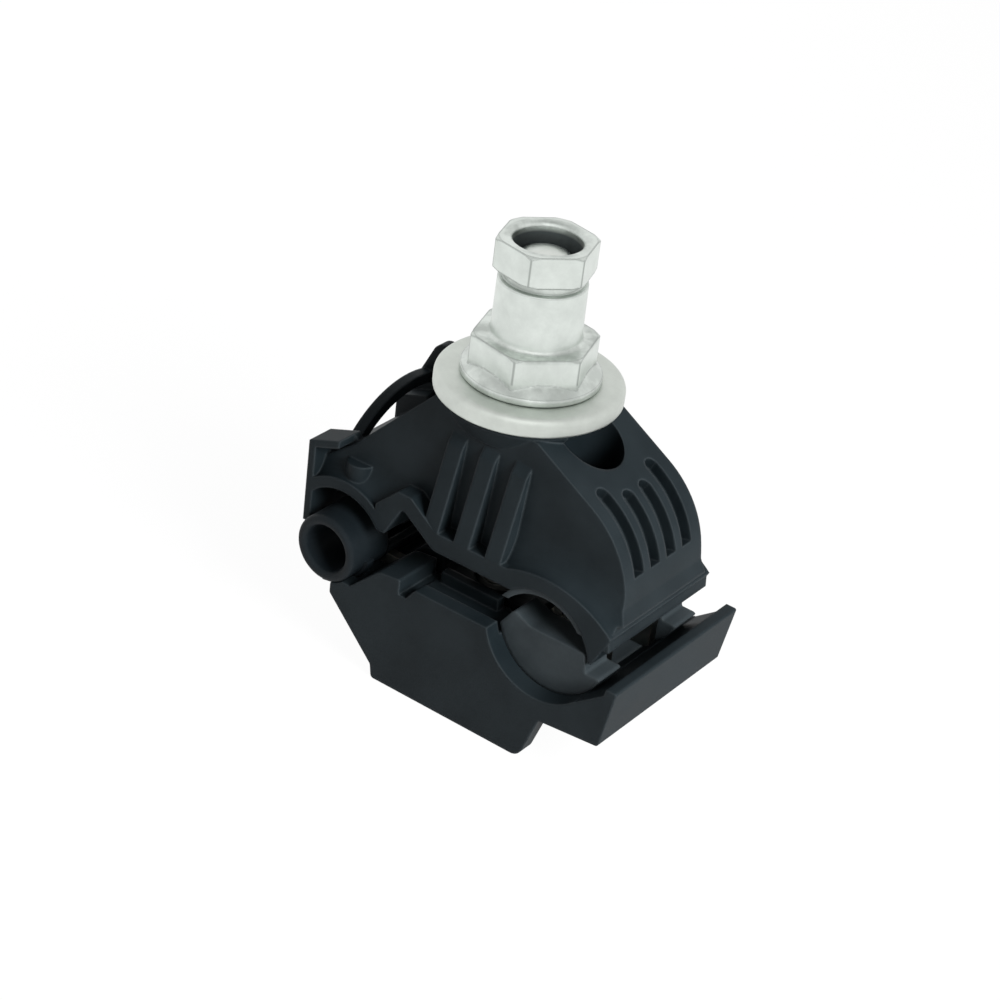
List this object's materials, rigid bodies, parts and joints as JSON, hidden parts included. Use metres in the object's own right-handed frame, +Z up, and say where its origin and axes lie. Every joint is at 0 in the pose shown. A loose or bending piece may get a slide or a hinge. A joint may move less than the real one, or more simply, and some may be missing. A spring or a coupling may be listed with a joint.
{
  "type": "insulation piercing connector",
  "caption": "Insulation piercing cable connector: two black moulded jaws with toothed blades and seals for a main and a branch cable, clamped by a bolt and a shear-head nut.",
  "frame": {"origin": "the bolt's axis in the plane of the skirts' feet, on which the connector stands", "axes": "+Z up the bolt, +X towards the main cable's channel, +Y along the cables towards the closed end of the branch channel"},
  "size_m": [0.0593, 0.0318, 0.0716],
  "materials": {
    "jaw_plastic": "satin black glass-filled moulding",
    "seal_rubber": "dull charcoal rubber",
    "sleeve_rubber": "dull black rubber",
    "blade_metal": "tinned contact metal",
    "plated_steel": "zinc-plated steel",
    "washer_steel": "dull zinc-plated pressing",
    "nut_alloy": "pale bare alloy"
  },
  "bodies": {
    "lower_jaw": {"lower_jaw": "jaw_plastic", "clamp_bolt": "plated_steel", "lower_front_blade": "blade_metal", "lower_rear_blade": "blade_metal", "lower_main_seal": "seal_rubber", "lower_branch_seal": "sleeve_rubber", "branch_sleeve": "sleeve_rubber", "branch_end_cap": "sleeve_rubber"},
    "upper_jaw": {"upper_jaw": "jaw_plastic", "upper_front_blade": "blade_metal", "upper_rear_blade": "blade_metal", "upper_main_seal": "seal_rubber", "upper_branch_seal": "sleeve_rubber", "top_washer": "washer_steel"},
    "shear_nut": {"shear_nut": "nut_alloy"}
  },
  "joints": [
    {"name": "jaw_slide", "type": "slide", "parent": "lower_jaw", "child": "upper_jaw", "axis": [0, 0, 1], "range_m": [-0.0013, 0.0076]},
    {"name": "nut_turn", "type": "hinge", "parent": "upper_jaw", "child": "shear_nut", "pos_m": [0, 0, 0.05], "axis": [0, 0, 1], "range_deg": [-360, 2160]}
  ],
  "couplings": [
    {"joint": "jaw_slide", "follows": "nut_turn", "m_per_rad": 0.00019894}
  ]
}
